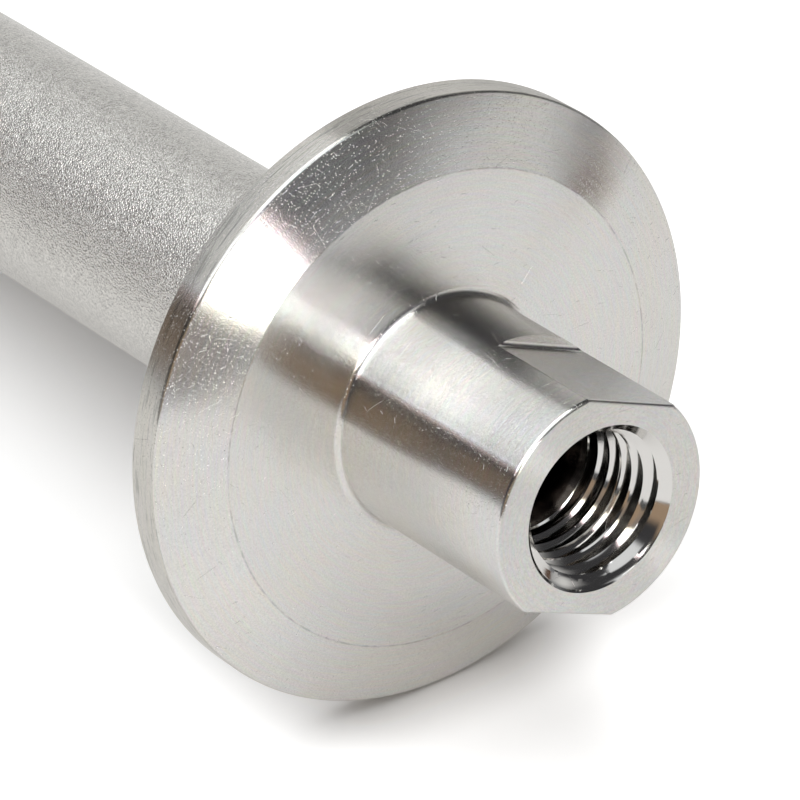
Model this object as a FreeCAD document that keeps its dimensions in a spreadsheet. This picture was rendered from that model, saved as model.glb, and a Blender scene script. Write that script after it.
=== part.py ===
import FreeCAD, Part

import os

import Sketcher

# A diffusion stone: a turned stainless fitting with a hygienic clamp flange and a threaded gas inlet,
# a sintered porous tube welded behind it, and a solid plug that closes the tube's far end.
# Millimetres. The axis is X: gas enters the stub at +X, the porous tube runs towards -X, and the origin
# is the centre of the gasket face. The two wrench flats on the stub face +Z and -Z.

SIZES = (
    ("flange_diameter", 50.5, "outside of the clamp flange, the standard one for 1.5 inch tube"),
    ("rim_thickness", 2.85, "cylindrical rim of the flange, from the gasket face to the cone"),
    ("cone_angle", 20.0, "slope of the clamped cone against the gasket face, degrees"),
    ("face_diameter", 39.4, "flat front face inside the cone"),
    ("rim_bevel", 0.25, "bevel on both edges of the rim"),
    ("groove_diameter", 43.5, "pitch circle of the gasket groove"),
    ("groove_radius", 1.6, "section of the gasket groove"),
    ("groove_depth", 1.1, "depth of the gasket groove below the gasket face"),
    ("stub_diameter", 19.05, "threaded stub, turned from three-quarter inch size"),
    ("stub_length", 20.2, "stub, from the flat front face to its end"),
    ("stub_fillet", 0.6, "round at the foot of the stub"),
    ("stub_chamfer", 0.3, "chamfer all round the stub's end face"),
    ("flat_depth", 1.025, "depth of each wrench flat below the round stub, 17 mm across the two"),
    ("flat_length", 11.4, "length of the flats, from the stub's end"),
    ("flat_fillet", 0.4, "round at the foot of the flats' shoulder, left by the milling cutter"),
    ("tap_diameter", 11.1, "tapping drill for quarter inch tapered pipe thread"),
    ("tap_depth", 17.0, "full width depth of the tapping hole"),
    ("tap_point_angle", 118.0, "point angle of the tapping drill, degrees"),
    ("mouth_diameter", 13.5, "countersunk mouth of the tapped hole"),
    ("mouth_angle", 90.0, "full angle of the countersink, degrees"),
    ("passage_diameter", 6.0, "gas passage from the tapped hole into the porous tube"),
    ("neck_length", 8.0, "solid neck between the gasket face and the porous tube"),
    ("neck_fillet", 0.5, "round at the foot of the neck"),
    ("tube_diameter", 18.7, "outside of the porous tube, the neck and the plug"),
    ("tube_wall", 2.5, "wall of the porous tube"),
    ("tube_length", 137.0, "porous tube between the neck and the plug"),
    ("spigot_length", 6.0, "spigots of the neck and the plug that locate the tube"),
    ("spigot_clearance", 0.05, "radial clearance of the spigots in the tube"),
    ("spigot_chamfer", 0.5, "lead chamfer on the spigots"),
    ("seam_chamfer", 0.2, "weld preparation on the outer edges of the neck and the plug"),
    ("plug_thickness", 5.0, "disc of the plug beyond the tube's end"),
    ("plug_fillet", 1.2, "round on the plug's outer end"),
    ("cut_overrun", 2.0, "how far the flats' cutter runs past the metal"),
)
SIZE = {name: value for name, value, note in SIZES}

# Places along the axis and radii that more than one sketch uses, as formulas of the driving sizes.
FACE_X = (
    "(sizes.rim_thickness + (sizes.flange_diameter - sizes.face_diameter) / 2"
    " * tan(sizes.cone_angle * 1 deg))"
)
STUB_END_X = f"({FACE_X} + sizes.stub_length)"
FITTING_BACK = "(sizes.neck_length + sizes.spigot_length)"
TUBE_END = "(sizes.neck_length + sizes.tube_length)"
TUBE_RADIUS = "(sizes.tube_diameter / 2)"
CHAMBER_RADIUS = f"({TUBE_RADIUS} - sizes.tube_wall)"
SPIGOT_RADIUS = f"({CHAMBER_RADIUS} - sizes.spigot_clearance)"
TAP_RADIUS = "(sizes.tap_diameter / 2)"
PASSAGE_RADIUS = "(sizes.passage_diameter / 2)"
FLAT_HEIGHT = "(sizes.stub_diameter / 2 - sizes.flat_depth)"

# How a sketch numbers the ends of a line, the centre of a circle, its own axes and its origin.
START, END, CENTRE = range(1, 4)
ALONG_AXIS, ACROSS_AXIS = range(-1, -3, -1)
ORIGIN = (ALONG_AXIS, START)
TOLERANCE = 1e-4


def make_sheet(doc):
    """The spreadsheet of driving sizes: name, value with its alias, and what it measures."""
    sheet = doc.addObject("Spreadsheet::Sheet", "sizes")
    for row, (name, value, note) in enumerate(SIZES, start=1):
        sheet.set(f"A{row}", name)
        sheet.set(f"B{row}", str(value))
        sheet.setAlias(f"B{row}", name)
        sheet.set(f"C{row}", note)
    return sheet


def make_body(doc, label):
    """A body whose label is the name of the piece."""
    body = doc.addObject("PartDesign::Body", label)
    body.Label = label
    return body


def make_sketch(body, name, plane):
    """A sketch on one of the body's own origin planes."""
    sketch = body.newObject("Sketcher::SketchObject", name)
    planes = {feature.Role: feature for feature in body.Origin.OriginFeatures}
    sketch.AttachmentSupport = [(planes[plane], "")]
    sketch.MapMode = "FlatFace"
    return sketch


def draw_outline(sketch, corners):
    """A closed outline through the named corners. Its level and upright lines are held so.

    Returns the number of the line that starts at each corner, which also stands for the corner.
    """
    points = [FreeCAD.Vector(x, y, 0) for x, y in corners.values()]
    following = points[1:] + points[:1]
    for start, end in zip(points, following):
        sketch.addGeometry(Part.LineSegment(start, end), False)
    for line, (start, end) in enumerate(zip(points, following)):
        after = (line + 1) % len(points)
        sketch.addConstraint(Sketcher.Constraint("Coincident", line, END, after, START))
        if abs(start.y - end.y) < TOLERANCE:
            sketch.addConstraint(Sketcher.Constraint("Horizontal", line))
        elif abs(start.x - end.x) < TOLERANCE:
            sketch.addConstraint(Sketcher.Constraint("Vertical", line))
    return {name: number for number, name in enumerate(corners)}


def put_on(sketch, corner, axis):
    """Holds a corner on one of the sketch's axes."""
    sketch.addConstraint(Sketcher.Constraint("PointOnObject", corner, START, axis))


def bind(sketch, constraint, name, formula):
    """Adds a named dimension and ties it to the driving sizes."""
    index = sketch.addConstraint(constraint)
    sketch.renameConstraint(index, name)
    sketch.setExpression(f"Constraints.{name}", formula)


def bind_run(sketch, name, line, formula):
    """The run of one line along the axis, always taken as positive."""
    geometry = sketch.Geometry[line]
    run = geometry.EndPoint.x - geometry.StartPoint.x
    first, last = (START, END) if run > 0 else (END, START)
    bind(sketch, Sketcher.Constraint("DistanceX", line, first, line, last, abs(run)), name, formula)


def bind_height(sketch, name, corner, formula):
    """The height of a corner above the axis."""
    height = sketch.Geometry[corner].StartPoint.y
    bind(sketch, Sketcher.Constraint("DistanceY", *ORIGIN, corner, START, height), name, formula)


def bind_place(sketch, name, corner, formula):
    """The distance of a corner from the gasket face, to whichever side it lies."""
    place = sketch.Geometry[corner].StartPoint.x
    ends = (*ORIGIN, corner, START) if place > 0 else (corner, START, *ORIGIN)
    bind(sketch, Sketcher.Constraint("DistanceX", *ends, abs(place)), name, formula)


def edge_names(feature, wanted):
    """The names of the edges of a feature for which the test holds."""
    return [f"Edge{n}" for n, edge in enumerate(feature.Shape.Edges, start=1) if wanted(edge)]


def is_ring(edge, place, radius):
    """Whether an edge is a full circle about the axis at this place and of this radius."""
    curve = edge.Curve
    return (
        isinstance(curve, Part.Circle)
        and abs(curve.Radius - radius) < TOLERANCE
        and abs(curve.Center.x - place) < TOLERANCE
        and abs(curve.Center.y) + abs(curve.Center.z) < TOLERANCE
    )


def dress(body, kind, name, wanted, size_property, formula):
    """A fillet or chamfer on the edges that the test picks from the body as it stands."""
    base = body.Tip
    edges = edge_names(base, wanted)
    if not edges:
        raise RuntimeError(f"{name} finds no edge")
    feature = body.newObject(kind, name)
    feature.Base = (base, edges)
    feature.setExpression(size_property, formula)
    body.Document.recompute()
    return feature


def fillet(body, name, wanted, formula):
    """A round on the picked edges, with the radius that the formula gives."""
    return dress(body, "PartDesign::Fillet", name, wanted, "Radius", formula)


def chamfer(body, name, wanted, formula):
    """A chamfer on the picked edges, with the width that the formula gives."""
    return dress(body, "PartDesign::Chamfer", name, wanted, "Size", formula)


def revolve(body, kind, name, sketch):
    """Turns a sketch about the axis of the stone, to add or to cut metal."""
    feature = body.newObject(kind, name)
    feature.Profile = sketch
    feature.ReferenceAxis = (sketch, ["H_Axis"])
    feature.Angle = 360.0
    body.Document.recompute()
    return feature


def make_inlet_fitting(doc):
    """The turned end fitting: clamp flange, threaded stub with flats, neck and gas passage."""
    body = make_body(doc, "inlet_fitting")
    place = turn_blank(body)
    cut_gasket_groove(body)
    cut_gas_bore(body, place)
    mill_flats(body, place)
    finish_edges(body, place)
    return body


def turn_blank(body):
    """The outside of the fitting, turned in one piece.

    Returns the places of the flat front face and of the stub's end, as the sketch solves them.
    """
    spigot, neck = SIZE["spigot_length"], SIZE["neck_length"]
    rim, cone = SIZE["rim_thickness"], SIZE["flange_diameter"] - SIZE["face_diameter"]
    tube, stub = SIZE["tube_diameter"] / 2, SIZE["stub_diameter"] / 2
    bore, flange, face = tube - SIZE["tube_wall"], SIZE["flange_diameter"] / 2, SIZE["face_diameter"] / 2
    end = rim + cone + SIZE["stub_length"]
    corners = {
        "spigot_centre": (-neck - spigot, 0),
        "spigot_end": (-neck - spigot, bore),
        "spigot_foot": (-neck, bore),
        "neck_back": (-neck, tube),
        "neck_foot": (0, tube),
        "rim_back": (0, flange),
        "rim_front": (rim, flange),
        "cone_front": (rim + cone, face),
        "stub_foot": (rim + cone, stub),
        "stub_end": (end, stub),
        "end_centre": (end, 0),
    }
    sketch = make_sketch(body, "turned_outline", "XY_Plane")
    at = draw_outline(sketch, corners)
    put_on(sketch, at["spigot_centre"], ALONG_AXIS)
    put_on(sketch, at["neck_foot"], ACROSS_AXIS)
    bind_height(sketch, "spigot_radius", at["spigot_end"], SPIGOT_RADIUS)
    bind_run(sketch, "spigot_run", at["spigot_end"], "sizes.spigot_length")
    bind_height(sketch, "neck_radius", at["neck_back"], TUBE_RADIUS)
    bind_run(sketch, "neck_run", at["neck_back"], "sizes.neck_length")
    bind_height(sketch, "flange_radius", at["rim_back"], "sizes.flange_diameter / 2")
    bind_run(sketch, "rim_run", at["rim_back"], "sizes.rim_thickness")
    bind_height(sketch, "face_radius", at["cone_front"], "sizes.face_diameter / 2")
    bind_place(sketch, "face_place", at["cone_front"], FACE_X)
    bind_height(sketch, "stub_radius", at["stub_foot"], "sizes.stub_diameter / 2")
    bind_run(sketch, "stub_run", at["stub_foot"], "sizes.stub_length")
    revolve(body, "PartDesign::Revolution", "turned_blank", sketch)
    foot, end = (sketch.Geometry[at[name]].StartPoint.x for name in ("stub_foot", "stub_end"))
    return {"face": foot, "end": end}


def cut_gasket_groove(body):
    """The round groove in the gasket face, which the bead of the clamp gasket fills."""
    pitch, section = SIZE["groove_diameter"] / 2, SIZE["groove_radius"]
    outside = section - SIZE["groove_depth"]
    sketch = make_sketch(body, "groove_section", "XY_Plane")
    centre = FreeCAD.Vector(-outside, pitch, 0)
    ring = sketch.addGeometry(Part.Circle(centre, FreeCAD.Vector(0, 0, 1), section), False)
    centre_depth = Sketcher.Constraint("DistanceX", ring, CENTRE, *ORIGIN, outside)
    bind(sketch, centre_depth, "centre_depth", "sizes.groove_radius - sizes.groove_depth")
    centre_height = Sketcher.Constraint("DistanceY", *ORIGIN, ring, CENTRE, pitch)
    bind(sketch, centre_height, "centre_height", "sizes.groove_diameter / 2")
    bind(sketch, Sketcher.Constraint("Radius", ring, section), "section", "sizes.groove_radius")
    revolve(body, "PartDesign::Groove", "gasket_groove", sketch)


def cut_gas_bore(body, place):
    """The tapping hole with its countersunk mouth and drill point, and the passage behind it."""
    end, back = place["end"], -SIZE["neck_length"] - SIZE["spigot_length"]
    mouth, tap, passage = (SIZE[f"{name}_diameter"] / 2 for name in ("mouth", "tap", "passage"))
    bottom = end - SIZE["tap_depth"]
    sketch = make_sketch(body, "bore_outline", "XY_Plane")
    corners = {
        "mouth_centre": (end, 0),
        "mouth_edge": (end, mouth),
        "tap_start": (end - (mouth - tap), tap),
        "tap_bottom": (bottom, tap),
        "point_end": (bottom - (tap - passage) / 2, passage),
        "passage_end": (back, passage),
        "passage_centre": (back, 0),
    }
    at = draw_outline(sketch, corners)
    put_on(sketch, at["mouth_centre"], ALONG_AXIS)
    bind_place(sketch, "bore_end", at["mouth_centre"], STUB_END_X)
    bind_height(sketch, "mouth_radius", at["mouth_edge"], "sizes.mouth_diameter / 2")
    bind_height(sketch, "tap_radius", at["tap_start"], TAP_RADIUS)
    mouth_run = f"(sizes.mouth_diameter / 2 - {TAP_RADIUS}) / tan(sizes.mouth_angle / 2 * 1 deg)"
    bind_run(sketch, "mouth_run", at["mouth_edge"], mouth_run)
    bind_place(sketch, "tap_bottom", at["tap_bottom"], f"{STUB_END_X} - sizes.tap_depth")
    point_run = f"({TAP_RADIUS} - {PASSAGE_RADIUS}) / tan(sizes.tap_point_angle / 2 * 1 deg)"
    bind_run(sketch, "point_run", at["tap_bottom"], point_run)
    bind_height(sketch, "passage_radius", at["point_end"], PASSAGE_RADIUS)
    bind_place(sketch, "passage_end", at["passage_end"], FITTING_BACK)
    revolve(body, "PartDesign::Groove", "gas_bore", sketch)


def mill_flats(body, place):
    """The upper wrench flat, milled across the stub, and its mirror image below."""
    end, stub, overrun = place["end"], SIZE["stub_diameter"] / 2, SIZE["cut_overrun"]
    start, height, top = end - SIZE["flat_length"], stub - SIZE["flat_depth"], stub + overrun
    sketch = make_sketch(body, "flat_section", "XZ_Plane")
    corners = {
        "shoulder_foot": (start, height),
        "flat_end": (end + overrun, height),
        "cutter_end": (end + overrun, top),
        "cutter_start": (start, top),
    }
    at = draw_outline(sketch, corners)
    bind_place(sketch, "shoulder_place", at["shoulder_foot"], f"{STUB_END_X} - sizes.flat_length")
    bind_run(sketch, "flat_run", at["shoulder_foot"], "sizes.flat_length + sizes.cut_overrun")
    bind_height(sketch, "flat_height", at["shoulder_foot"], FLAT_HEIGHT)
    bind_height(sketch, "cutter_top", at["cutter_end"], "sizes.stub_diameter / 2 + sizes.cut_overrun")
    pocket = body.newObject("PartDesign::Pocket", "upper_flat")
    pocket.Profile = sketch
    pocket.Type = "ThroughAll"
    pocket.Midplane = True
    body.Document.recompute()
    planes = {feature.Role: feature for feature in body.Origin.OriginFeatures}
    mirrored = body.newObject("PartDesign::Mirrored", "both_flats")
    mirrored.Originals = [pocket]
    mirrored.MirrorPlane = (planes["XY_Plane"], [""])
    body.Tip = mirrored
    body.Document.recompute()


def finish_edges(body, place):
    """The rounds and bevels that turning and milling leave on the fitting."""
    face, end = place["face"], place["end"]
    names = ("stub", "flange", "tube", "mouth")
    stub, flange, tube, mouth = (SIZE[f"{name}_diameter"] / 2 for name in names)
    shoulder, flat_height = end - SIZE["flat_length"], stub - SIZE["flat_depth"]
    spigot = tube - SIZE["tube_wall"] - SIZE["spigot_clearance"]
    rim, neck_back = SIZE["rim_thickness"], -SIZE["neck_length"]
    back = neck_back - SIZE["spigot_length"]

    def at_shoulder_foot(edge):
        middle = edge.CenterOfMass
        straight = isinstance(edge.Curve, Part.Line)
        at_foot = abs(abs(middle.z) - flat_height) < TOLERANCE
        return straight and at_foot and abs(middle.x - shoulder) < TOLERANCE

    def round_end_face(edge):
        at_end = abs(edge.BoundBox.XMin - end) + abs(edge.BoundBox.XMax - end) < TOLERANCE
        return at_end and not is_ring(edge, end, mouth)

    def on_rim(edge):
        return is_ring(edge, 0, flange) or is_ring(edge, rim, flange)

    fillet(body, "shoulder_round", at_shoulder_foot, "sizes.flat_fillet")
    fillet(body, "stub_foot_round", lambda edge: is_ring(edge, face, stub), "sizes.stub_fillet")
    fillet(body, "neck_foot_round", lambda edge: is_ring(edge, 0, tube), "sizes.neck_fillet")
    chamfer(body, "end_face_chamfer", round_end_face, "sizes.stub_chamfer")
    chamfer(body, "rim_bevels", on_rim, "sizes.rim_bevel")
    chamfer(body, "neck_seam", lambda edge: is_ring(edge, neck_back, tube), "sizes.seam_chamfer")
    chamfer(body, "spigot_lead", lambda edge: is_ring(edge, back, spigot), "sizes.spigot_chamfer")


def make_porous_tube(doc):
    """The sintered tube, whose bore is the gas chamber. It butts against the neck."""
    body = make_body(doc, "porous_tube")
    sketch = make_sketch(body, "tube_section", "YZ_Plane")
    sketch.setExpression(".AttachmentOffset.Base.z", "-sizes.neck_length")
    outer = SIZE["tube_diameter"] / 2
    rings = (
        ("outer_radius", outer, TUBE_RADIUS),
        ("chamber_radius", outer - SIZE["tube_wall"], CHAMBER_RADIUS),
    )
    for name, radius, formula in rings:
        circle = Part.Circle(FreeCAD.Vector(0, 0, 0), FreeCAD.Vector(0, 0, 1), radius)
        ring = sketch.addGeometry(circle, False)
        sketch.addConstraint(Sketcher.Constraint("Coincident", ring, CENTRE, *ORIGIN))
        bind(sketch, Sketcher.Constraint("Radius", ring, radius), name, formula)
    pad = body.newObject("PartDesign::Pad", "sintered_wall")
    pad.Profile = sketch
    pad.Reversed = True
    pad.setExpression("Length", "sizes.tube_length")
    doc.recompute()
    return body


def make_end_plug(doc):
    """The solid plug that closes the far end of the tube."""
    body = make_body(doc, "end_plug")
    tube = SIZE["tube_diameter"] / 2
    spigot = tube - SIZE["tube_wall"] - SIZE["spigot_clearance"]
    seat = -SIZE["neck_length"] - SIZE["tube_length"]
    tip, outside = seat + SIZE["spigot_length"], seat - SIZE["plug_thickness"]
    sketch = make_sketch(body, "plug_outline", "XY_Plane")
    corners = {
        "tip_centre": (tip, 0),
        "outside_centre": (outside, 0),
        "outside_edge": (outside, tube),
        "seat_edge": (seat, tube),
        "seat_foot": (seat, spigot),
        "tip_edge": (tip, spigot),
    }
    at = draw_outline(sketch, corners)
    put_on(sketch, at["tip_centre"], ALONG_AXIS)
    bind_height(sketch, "plug_radius", at["outside_edge"], TUBE_RADIUS)
    bind_run(sketch, "disc_run", at["outside_edge"], "sizes.plug_thickness")
    bind_place(sketch, "seat_place", at["seat_edge"], TUBE_END)
    bind_height(sketch, "spigot_radius", at["seat_foot"], SPIGOT_RADIUS)
    bind_run(sketch, "spigot_run", at["seat_foot"], "sizes.spigot_length")
    revolve(body, "PartDesign::Revolution", "turned_plug", sketch)
    fillet(body, "end_round", lambda edge: is_ring(edge, outside, tube), "sizes.plug_fillet")
    chamfer(body, "plug_seam", lambda edge: is_ring(edge, seat, tube), "sizes.seam_chamfer")
    chamfer(body, "plug_lead", lambda edge: is_ring(edge, tip, spigot), "sizes.spigot_chamfer")
    return body


def check_and_export(doc, pieces):
    """Stops on any failed object or bad solid, then writes one file for each piece."""
    doc.recompute()
    for item in doc.Objects:
        if "Invalid" in item.State or "Error" in item.State:
            raise RuntimeError(f"{item.Name} failed: {item.State}")
        if item.TypeId == "Sketcher::SketchObject" and item.solve() != 0:
            raise RuntimeError(f"{item.Name} doesn't solve")
    for piece in pieces:
        shape = piece.Shape
        if shape.isNull() or not shape.isValid() or len(shape.Solids) != 1:
            raise RuntimeError(f"{piece.Label} isn't one valid solid")
    os.makedirs("parts", exist_ok=True)
    for piece in pieces:
        piece.Shape.exportStep(f"parts/{piece.Label}.step")
        box = piece.Shape.BoundBox
        print(f"{piece.Label}: {piece.Shape.Volume:.0f} mm3, x {box.XMin:.2f} to {box.XMax:.2f}")


def main():
    doc = FreeCAD.newDocument("diffusion_stone")
    make_sheet(doc)
    doc.recompute()
    pieces = [make_inlet_fitting(doc), make_porous_tube(doc), make_end_plug(doc)]
    check_and_export(doc, pieces)


main()
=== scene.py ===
"""A stainless steel diffusion stone for carbonating drinks in a tank, dressed for its portrait.

The stone is three pieces welded in line: a turned inlet fitting with a clamp flange, wrench
flats and a tapped gas inlet, a porous tube of sintered steel, and a plug that closes its far
end. Their axis is the X axis of the CAD frame, and the gasket face lies at its origin.
"""

import logging
import math
from dataclasses import dataclass
from enum import Enum

import bmesh
import bpy
import numpy as np
from mathutils import Matrix, Vector


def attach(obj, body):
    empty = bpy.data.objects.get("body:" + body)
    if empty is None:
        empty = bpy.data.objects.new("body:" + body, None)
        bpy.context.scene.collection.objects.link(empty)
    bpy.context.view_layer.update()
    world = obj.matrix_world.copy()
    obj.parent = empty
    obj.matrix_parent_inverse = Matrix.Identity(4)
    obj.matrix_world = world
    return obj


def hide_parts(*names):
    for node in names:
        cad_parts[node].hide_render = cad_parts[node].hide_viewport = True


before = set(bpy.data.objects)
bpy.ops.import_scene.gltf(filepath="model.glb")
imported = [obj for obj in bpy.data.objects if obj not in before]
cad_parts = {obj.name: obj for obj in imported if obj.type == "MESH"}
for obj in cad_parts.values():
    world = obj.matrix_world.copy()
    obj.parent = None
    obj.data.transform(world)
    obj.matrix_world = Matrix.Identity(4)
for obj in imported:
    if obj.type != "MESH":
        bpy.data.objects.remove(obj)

LOG = logging.getLogger("diffusion_stone")
MM = 0.001
MERGE = 2e-4 * MM
TINY = 1e-6
# Nearly all values of the noise lie between these two.
NOISE_RANGE = (0.3, 0.7)
Colour = tuple[float, float, float]
Point = tuple[float, float, float]
Socket = bpy.types.NodeSocket
Thing = bpy.types.Object


class Slot(Enum):
    """The record's material slots."""

    TURNED = "turned_stainless"
    SINTERED = "sintered_stainless"


class Ray(Enum):
    """The kinds of ray that see the white paper as the photographer's camera does."""

    CAMERA = "Is Camera Ray"
    GLOSSY = "Is Glossy Ray"
    TRANSMISSION = "Is Transmission Ray"


@dataclass(frozen=True)
class Ramp:
    """A soft step: as a value goes from low to high, the result goes from start to end."""

    low: float
    high: float
    start: float = 0.0
    end: float = 1.0


@dataclass(frozen=True)
class Noise:
    """Soft random variation: its waves in a mm, and how much finer and rougher it gets."""

    scale: float
    detail: float = 2.0
    roughness: float = 0.5


class Graph:
    """Adds the nodes of one tree and joins them, so that a finish reads as a list of steps."""

    def __init__(self, tree: bpy.types.NodeTree) -> None:
        """Starts with an empty tree.

        Args:
            tree: The node tree of a material or of the world.
        """
        self.tree = tree
        self.tree.nodes.clear()

    def add(self, kind: str, inputs: dict | None = None, **settings) -> bpy.types.Node:
        """Adds a node, then sets or joins its inputs.

        Args:
            kind: The node's type name, without ShaderNode before it.
            inputs: Socket names or numbers, each with a value or with a socket to join.
            **settings: Properties of the node itself.

        Returns:
            The new node.
        """
        node = self.tree.nodes.new("ShaderNode" + kind)
        for name, value in settings.items():
            setattr(node, name, value)
        for name, value in (inputs or {}).items():
            self.put(node.inputs[name], value)
        return node

    def put(self, socket: Socket, value) -> None:
        """Joins a socket to another socket, or gives it a value.

        Args:
            socket: The input.
            value: An output socket, a number, or a sequence of numbers.
        """
        if isinstance(value, Socket):
            self.tree.links.new(value, socket)
        elif socket.type == "RGBA" and len(value) == 3:
            socket.default_value = (*value, 1.0)
        else:
            socket.default_value = value

    def math(self, operation: str, *values, clamp: bool = False) -> Socket:
        """One step of arithmetic on numbers."""
        node = self.add("Math", dict(enumerate(values)), operation=operation)
        node.use_clamp = clamp
        return node.outputs[0]

    def product(self, first, second) -> Socket:
        """One number times another."""
        return self.math("MULTIPLY", first, second)

    def total(self, first, second) -> Socket:
        """One number plus another."""
        return self.math("ADD", first, second)

    def vector(self, operation: str, *values) -> Socket:
        """One step of arithmetic on vectors, with a number as result where it has one."""
        node = self.add("VectorMath", dict(enumerate(values)), operation=operation)
        number = operation in ("DOT_PRODUCT", "LENGTH")
        return node.outputs["Value" if number else "Vector"]

    def scaled(self, vector: Socket, scale) -> Socket:
        """A vector times a number."""
        inputs = {0: vector, "Scale": scale}
        return self.add("VectorMath", inputs, operation="SCALE").outputs[0]

    def join(self, x, y, z) -> Socket:
        """A vector from three numbers."""
        return self.add("CombineXYZ", {0: x, 1: y, 2: z}).outputs[0]

    def span(self, value, ramp: Ramp) -> Socket:
        """The result of a ramp for a value, flat outside."""
        inputs = {"Value": value, 1: ramp.low, 2: ramp.high, 3: ramp.start, 4: ramp.end}
        return self.add("MapRange", inputs, interpolation_type="SMOOTHSTEP").outputs[0]

    def noise(self, at, noise: Noise) -> tuple[Socket, Socket]:
        """Noise at a point, as a number and as a colour."""
        inputs = {"Vector": at, "Scale": noise.scale}
        inputs |= {"Detail": noise.detail, "Roughness": noise.roughness}
        return tuple(self.add("TexNoise", inputs, noise_dimensions="3D").outputs)

    def blend(self, share, first, second, kind: str = "MIX") -> Socket:
        """Two colours mixed by a share from 0 to 1."""
        node = self.add("Mix", data_type="RGBA", blend_type=kind)
        for name, value in ((0, share), (6, first), (7, second)):
            self.put(node.inputs[name], value)
        return node.outputs[2]

    def bump(self, height: Socket) -> Socket:
        """The normal of a surface that a height in mm makes uneven."""
        return self.add("Bump", {"Height": height, "Distance": MM}).outputs[0]

    def show(self, shader: bpy.types.Node) -> None:
        """Makes a shader the material's surface."""
        self.add("OutputMaterial", {0: shader.outputs[0]})


def new_material(name: str) -> tuple[bpy.types.Material, Graph]:
    """A material and its graph, which is still empty."""
    material = bpy.data.materials.new(name)
    material.use_nodes = True
    return material, Graph(material.node_tree)


def shaded(colour: Colour, shade: Colour) -> Colour:
    """A colour times a shade, channel by channel."""
    return tuple(c * s for c, s in zip(colour, shade))


@dataclass(frozen=True)
class Axes:
    """Where a point of the metal lies, in mm, as the sockets of a finish's graph."""

    point: Socket
    x: Socket
    z: Socket
    radius: Socket
    angle: Socket
    around: Socket

    @classmethod
    def of(cls, graph: Graph) -> "Axes":
        """Reads them from Object coordinates.

        The radius is the distance from the X axis, the angle is taken about it from Y
        towards Z, and around is the unit vector in the direction in which the work turned.

        Args:
            graph: The graph of a finish.

        Returns:
            The sockets.
        """
        coords = graph.add("TexCoord").outputs["Object"]
        point = graph.scaled(coords, 1 / MM)
        x, y, z = graph.add("SeparateXYZ", {0: point}).outputs
        radius = graph.vector("LENGTH", graph.join(0.0, y, z))
        around = graph.vector("NORMALIZE", graph.join(0.0, graph.product(z, -1.0), y))
        return cls(point, x, z, radius, graph.math("ARCTAN2", z, y), around)


@dataclass(frozen=True)
class Marks:
    """Scratches or pits: how many, how large, and how deep, in mm.

    The metal is divided into random cells, and some of the cells hold one mark each. Within
    the core, a share of a scratch's width, and the full share of its length, it is deepest.
    """

    cell: float
    share: float
    width: float
    depth: float
    seed: float
    length: float = 0.0
    core: float = 0.4
    full: float = 0.6

    def scratches(self, graph: Graph, axes: Axes) -> Socket:
        """Straight hairlines in random directions.

        Within a cell a scratch is the band of points whose distance from a line through the
        cell's centre is under the width. The distance is taken along the vector that is
        square to the surface normal and to the cell's random direction, so that the line
        lies in the surface.

        Args:
            graph: The graph of a finish.
            axes: The place in the metal.

        Returns:
            A height, 0 on sound metal and minus the depth on the scratch.
        """
        moved = graph.vector("ADD", axes.point, (self.seed, -self.seed, 2 * self.seed))
        inputs = {"Vector": moved, "Scale": 1 / self.cell}
        cells = graph.add("TexVoronoi", inputs)
        offset = graph.vector("SUBTRACT", moved, cells.outputs["Position"])
        course = graph.vector("SUBTRACT", cells.outputs["Color"], (0.5, 0.5, 0.5))
        normal = graph.add("NewGeometry").outputs["True Normal"]
        across = graph.vector("NORMALIZE", graph.vector("CROSS_PRODUCT", normal, course))
        along = graph.vector("CROSS_PRODUCT", normal, across)
        aside = graph.math("ABSOLUTE", graph.vector("DOT_PRODUCT", offset, across))
        ahead = graph.math("ABSOLUTE", graph.vector("DOT_PRODUCT", offset, along))
        line = graph.span(aside, Ramp(self.width * self.core, self.width, 1.0, 0.0))
        half = self.length / 2
        reach = graph.span(ahead, Ramp(half * self.full, half, 1.0, 0.0))
        parts = graph.add("SeparateColor", {0: cells.outputs["Color"]}).outputs
        chosen = graph.math("LESS_THAN", parts[1], self.share)
        return graph.product(graph.product(graph.product(line, reach), chosen), -self.depth)

    def pits(self, graph: Graph, axes: Axes) -> Socket:
        """Small round pits, deepest at their centre.

        Args:
            graph: The graph of a finish.
            axes: The place in the metal.

        Returns:
            A height, 0 on sound metal and minus the depth in the middle of a pit.
        """
        moved = graph.vector("ADD", axes.point, (self.seed, -self.seed, 2 * self.seed))
        cells = graph.add("TexVoronoi", {"Vector": moved, "Scale": 1 / self.cell})
        distance = graph.product(cells.outputs["Distance"], self.cell)
        hole = graph.span(distance, Ramp(0.0, self.width, 1.0, 0.0))
        parts = graph.add("SeparateColor", {0: cells.outputs["Color"]}).outputs
        chosen = graph.math("LESS_THAN", parts[0], self.share)
        return graph.product(graph.product(hole, chosen), -self.depth)


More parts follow.
